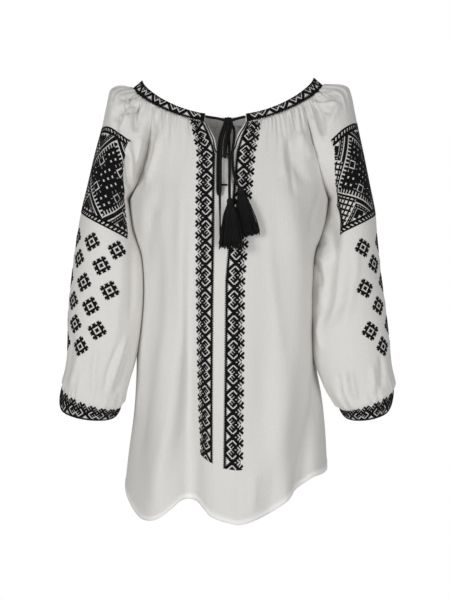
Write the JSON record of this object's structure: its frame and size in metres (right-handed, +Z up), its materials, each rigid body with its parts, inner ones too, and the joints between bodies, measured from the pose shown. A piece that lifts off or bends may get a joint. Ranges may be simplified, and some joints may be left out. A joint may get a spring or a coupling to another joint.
{
  "type": "embroidered peasant blouse",
  "caption": "Wide-necked cotton peasant blouse, filled out as worn, with gathered raglan sleeves, black cross-stitch borders and a tasselled neck tie.",
  "frame": {"origin": "midway between the two shoulder points of the neckband's upper edge", "axes": "+Z up, -Y out of the front of the blouse, +X to the right as seen from the front"},
  "size_m": [0.5262, 0.2896, 0.6893],
  "materials": {
    "cotton": "fine plain-weave cotton, matt, off-white",
    "black_stitching": "black embroidery cotton on off-white cotton, matt",
    "black_cord": "twisted black cord with a soft sheen"
  },
  "bodies": {
    "root": {"front": "cotton", "back": "cotton", "sleeve_left": "cotton", "sleeve_right": "cotton", "neckband": "black_stitching", "cuff_left": "black_stitching", "cuff_right": "black_stitching", "slit_binding": "cotton", "slit_bar": "black_cord", "tie_left": "black_cord", "tie_right": "black_cord", "bow_knot": "black_cord", "bow_loop_long": "black_cord", "bow_loop_short": "black_cord", "tie_end_a": "black_cord", "tie_end_b": "black_cord", "tassel_a": "black_cord", "tassel_b": "black_cord"}
  },
  "joints": []
}
